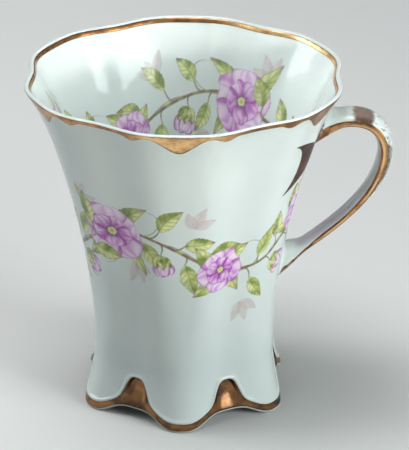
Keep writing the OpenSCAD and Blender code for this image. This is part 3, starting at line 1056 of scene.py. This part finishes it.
def stem(canvas, curve, width, tip, colour, cover=1.0):
    """A line along a cubic curve of arc and height, from one width to another, with green in it."""
    t = np.linspace(0, 1, 70)
    line = bezier(curve, t)
    middle = line.mean(0)
    area, x, y = canvas.window(*middle, np.abs(line - middle).max() + 1)
    gaps = np.hypot(x[..., None] - line[:, 0] + middle[0], y[..., None] - line[:, 1] + middle[1])
    half = mix(width, tip, t)[gaps.argmin(-1)] / 2
    green = clip(0.35 + 0.5 * ripple(x, y, 3.0, 5))
    canvas.lay(area, cover * within(half - gaps.min(-1), 0.13), mix(colour, leaf_green, green[..., None]))


def bud(canvas, arc, height, angle, size, seed):
    """A closed bud: three folded petals in a green cup of three sepals."""
    for k, wide in ((-0.22, 0.62), (0.22, 0.62), (0.0, 0.5)):
        petal(canvas, arc, height, angle + k, size, size * wide, seed + int(k * 100) + 50)
    for k in (-0.5, 0.5, 0.0):
        leaf(canvas, arc, height, angle + k, size * 0.66, size * 0.34, 0.3 * k, seed + int(10 * k) + 7)


# %% Vine
repeats, stretches = 3, 4


class Vine:
    """A sine wave of arc and height round a canvas, by repeats from its start."""

    def __init__(self, canvas, start, level, sway):
        self.begin, self.level, self.sway = start * canvas.radius, level, sway
        self.repeat = 2 * np.pi * canvas.radius / repeats

    def at(self, t):
        """The place t repeats along the vine."""
        return np.array([self.begin + t * self.repeat, self.level + self.sway * np.sin(2 * np.pi * t + 0.9)])

    def heading(self, t):
        """The vine's direction there, from one near point to another."""
        d = self.at(t + 0.01) - self.at(t - 0.01)
        return np.arctan2(d[1], d[0])


def way(angle, length):
    """A step of this length in a direction."""
    return length * np.array([np.cos(angle), np.sin(angle)])


# %% Stems and sprigs
def shadow_leaves(canvas, vine, size, draw, seed):
    """Faint fans of three leaves, above and below the vine by turns."""
    for n in range(repeats * stretches):
        side = 1 if n % 2 else -1
        p = vine.at(n / stretches + 0.13) + [draw.uniform(-2, 2), side * size * draw.uniform(1.0, 1.35)]
        for k in (-0.75, 0.0, 0.7):
            leaf(canvas, *p, side * 1.2 + k, size * draw.uniform(0.6, 0.9), size * 0.32, 0.2, seed + n,
                 ghost_tones, 0.5)


def vine_stems(canvas, vine, size):
    """The vine in short stretches, each with a thin second stem that winds about it, and a tendril."""
    for k in range(repeats * stretches):
        t, pull, side = k / stretches, vine.repeat / (3 * stretches), -1 if k % 2 else 1
        after = t + 1 / stretches
        a, b = vine.at(t), vine.at(after)
        out, back = way(vine.heading(t), pull), way(vine.heading(after), pull)
        stem(canvas, [a, a + out, b - back, b], 0.9, 0.75, twig)
        lift = np.array([0, -1.3 * side])
        stem(canvas, [a, a + out + 2 * lift, b - back - lift, b], 0.42, 0.34, plum, 0.85)
        p, turn = vine.at(t + 0.16), vine.heading(t + 0.16)
        curl = [p] + [p + way(turn + side * bend, size * reach) for bend, reach in ((0.5, 0.7), (1.2, 1.3), (1.9, 0.9))]
        stem(canvas, curl, 0.36, 0.22, leaf_dark, 0.8)


def sprig(canvas, vine, t, side, reach, draw):
    """A short stalk that leaves the vine to one side, and the place and direction of its end."""
    p, lean = vine.at(t), vine.heading(t) + side * draw.uniform(0.75, 1.1)
    end, pull = p + way(lean, reach), p + way(vine.heading(t), 0.5 * reach)
    stem(canvas, [p, pull, mix(pull, end, 0.6), end], 0.5, 0.32, twig)
    return end, lean


# %% Garland
sprigs = (0.12, 0.17, 0.22, 0.28, 0.33, 0.39, 0.62, 0.67, 0.72, 0.78, 0.84, 0.89)
bud_sprigs = (2, 8)


def garland(canvas, start, level, sway, size, seed):
    """Every repeat of the vine: stems, leaves and buds on sprigs, and a blossom on each of its bends."""
    draw = np.random.default_rng(seed)
    vine = Vine(canvas, start, level, sway)
    shadow_leaves(canvas, vine, size, draw, seed)
    vine_stems(canvas, vine, size)
    for k in range(repeats):
        for n, t in enumerate(sprigs):
            side = 1 if n % 2 else -1
            end, lean = sprig(canvas, vine, k + t, side, size * draw.uniform(0.3, 0.55), draw)
            if n in bud_sprigs:
                bud(canvas, *end, lean, size * draw.uniform(0.8, 0.95), seed + 10 * n + k)
            else:
                leaf(canvas, *end, lean + draw.uniform(-0.3, 0.3), size * draw.uniform(0.85, 1.15),
                     size * draw.uniform(0.42, 0.55), side * draw.uniform(-0.1, 0.4), seed + 20 * n + k)
        for t, big in ((k, 1.18), (k + 0.5, 0.84)):
            for n, angle in enumerate((0.7, 2.3, 3.9, 5.4)):
                leaf(canvas, *vine.at(t), angle + k, size * big * draw.uniform(1.35, 1.6), size * 0.55, 0.25,
                     seed + 5 * n + k)
            blossom(canvas, *vine.at(t), size * big, 0.4 + k + t, seed + 7 + int(4 * t))


# %% [markdown]
# ## The printed films
# The whole canvas could be laid on the wall, but only its inked cells are wanted, so that the mesh stays
# small. They become a thin closed film: an upper face, a lower face just inside the porcelain, and a
# narrow wall along every edge that has no cell beyond it. Where the ink ends, the film shows the same
# glaze as the body, so its own edge is not seen.

# %% Print films
print_lift, print_sink, least_ink = 0.03, 0.05, 0.004


def inked_cells(cover):
    """Cells with ink at any corner. Where two touch at a corner alone, one between them is added."""
    inked = cover > least_ink
    inked = inked | np.roll(inked, -1, 1)
    cells = inked[:-1] | inked[1:]
    for _ in range(6):
        beside, above = np.roll(cells, -1, 1)[:-1], cells[1:]
        across = np.roll(above, -1, 1)
        rising, falling = cells[:-1] & across & ~beside & ~above, beside & above & ~cells[:-1] & ~across
        cells[1:] |= rising
        cells[:-1] |= falling
    return cells


def film_faces(cells):
    """Faces of a film over these cells: the upper face, the lower face turned over, and the walls."""
    rows, columns = cells.shape
    i, j = np.nonzero(cells)
    m = (j + 1) % columns
    count = (rows + 1) * columns
    corners = [i * columns + j, i * columns + m, (i + 1) * columns + m, (i + 1) * columns + j]
    upper = np.stack(corners, -1)
    padded = np.pad(cells, ((1, 1), (0, 0)))
    beyond = [padded[i, j], cells[i, m], padded[i + 2, j], cells[i, j - 1]]
    walls = []
    for n, neighbour in enumerate(beyond):
        p, q = corners[n][~neighbour], corners[(n + 1) % 4][~neighbour]
        walls.append(np.stack([q, p, p + count, q + count], -1))
    return np.concatenate([upper, upper[:, ::-1] + count] + walls)


def lay_print(name, canvas, surface, strength=1.0):
    """Closed films over the inked part of a canvas, a third of the way round each, bent onto a surface."""
    cells = inked_cells(canvas.cover)
    thirds = np.arange(canvas.columns) * 3 // canvas.columns
    a, z = canvas.angles[None, :], canvas.heights[:, None]
    points = np.concatenate([surface(a, z, lift).reshape(-1, 3) for lift in (print_lift, -print_sink)])
    ink = np.concatenate([canvas.colour, strength * canvas.cover[..., None]], -1).reshape(-1, 4)
    for third in range(3):
        used, faces = np.unique(film_faces(cells & (thirds == third)), return_inverse=True)
        film = make_piece(f"{name}_{third + 1}", points[used], [faces.reshape(-1, 4)], printed_glaze, "porcelain",
                          colours={"ink": np.tile(ink, (2, 1))[used]})
        film.data.set_sharp_from_angle(angle=math.radians(60))


printed_glaze = porcelain("printed_glaze", printed=True)
outside_canvas = Canvas(radius=28, low=27, high=73, step=0.22)
garland(outside_canvas, start=math.radians(-128), level=49.5, sway=6.0, size=8.4, seed=3)
lay_print("outside_print", outside_canvas, outer)
inside_canvas = Canvas(radius=33, low=44, high=83, step=0.24)
garland(inside_canvas, start=math.radians(62), level=65, sway=5.5, size=8.2, seed=5)
lay_print("inside_print", inside_canvas, inner, strength=0.9)

# %% [markdown]
# ## The stage and the light
# A plain pale floor carries the shadow. The main light is at the right: a lamp that shines in the glaze,
# and a broader fill round it that doesn't. One at the left brightens that edge, one hangs above, and the
# front between them stays darker, which is what shows the lobes. Two narrow beams, kept out of the
# reflections, lift the wall below the rim and the inside at the back.
# A pale floor would throw light back up and flatten that shading. So the camera and the reflections see
# it pale, while the light that bounces off it towards the cup is that of a greyer paper.


# %% Seen rays
def seen_share(tree):
    """1 for a ray from the camera or off a shiny surface, and 0 for a ray of bounced light."""
    kinds = [Wire.node(tree, "ShaderNodeLightPath", out=f"Is {k} Ray") for k in ("Camera", "Glossy", "Transmission")]
    total = kinds[0] + kinds[1] + kinds[2]
    return total.math("MINIMUM", total, 1.0)


# %% Floor
floor_pale, floor_grain, floor_dim = (0.79, 0.795, 0.79, 1), (0.76, 0.765, 0.76, 1), (0.28, 0.295, 0.295, 1)
floor_half, floor_lines = 3000, 9
paper = Finish("floor_paper", Roughness=0.9, Specular_IOR_Level=0.05)
floor_seen = paper.blend(paper.noise(0.004, 2), floor_pale, floor_grain)
paper.set(Base_Color=paper.blend(seen_share(paper.tree), floor_dim, floor_seen))
floor_at = np.linspace(-floor_half, floor_half, floor_lines)
floor_points = np.stack(np.broadcast_arrays(floor_at[None, :], floor_at[:, None], 0.0), -1).reshape(-1, 3)
floor_mesh = bpy.data.meshes.new("floor")
floor_mesh.from_pydata((floor_points * MM).tolist(), [], grid_faces(floor_lines, floor_lines).tolist())
floor_mesh.materials.append(paper.material)
floor = bpy.data.objects.new("floor", floor_mesh)
bpy.context.scene.collection.objects.link(floor)
print("The floor is", 2 * floor_half * MM, "m wide")

# %% Lamps
cool, warm = (0.94, 1, 1), (1, 0.97, 0.9)
main_at = (830, -500, 380)


def lamp(name, place, width, height, watts, colour=(1, 1, 1), aim=(0, 0, 45), spread=180, shines=True):
    """A rectangular soft light at this place in mm, turned to the point that it aims at. spread is the angle
    of its beam in degrees. One that doesn't shine is left out of the reflections."""
    data = bpy.data.lights.new(name, "AREA")
    data.shape = "RECTANGLE"
    data.size, data.size_y = width * MM, height * MM
    data.energy = watts
    data.color = colour
    data.spread = math.radians(spread)
    made = bpy.data.objects.new(name, data)
    made.visible_glossy = shines
    made.location = np.array(place) * MM
    x, y, z = np.array(aim) - np.array(place)
    made.rotation_euler = (math.atan2(math.hypot(x, y), -z), 0, math.atan2(-x, y))
    bpy.context.scene.collection.objects.link(made)
    print(name, watts, "W")


lamp("main_light", main_at, 400, 420, 2.8, cool)
lamp("main_fill", main_at, 550, 700, 4.9, cool, shines=False)
lamp("left_edge_light", (-850, 150, 420), 500, 650, 3.9, cool)
lamp("top_light", (-150, 0, 900), 500, 500, 4.2)
lamp("front_light", (350, -600, 200), 300, 150, 0.066, warm, aim=(0, 0, 115), spread=8, shines=False)
lamp("mouth_light", (-260, -330, 430), 40, 40, 0.0018, cool, aim=(33, 14, 72), spread=5, shines=False)

# %% World
room_light, room_seen = 0.06, 0.4
world = bpy.data.worlds.new("studio")
bpy.context.scene.world = world
world.use_nodes = True
backdrop = world.node_tree.nodes["Background"]
backdrop.inputs["Color"].default_value = (*cool, 1)
strength = room_light + seen_share(world.node_tree) * room_seen
world.node_tree.links.new(strength.socket, backdrop.inputs["Strength"])
bpy.context.scene.view_settings.view_transform = "Standard"
print("The room lights the cup at", room_light, "and is seen at", round(room_light + room_seen, 2))

# %% [markdown]
# ## Finish
# The view layer is brought up to date at the end.

# %% Update
bpy.context.view_layer.update()
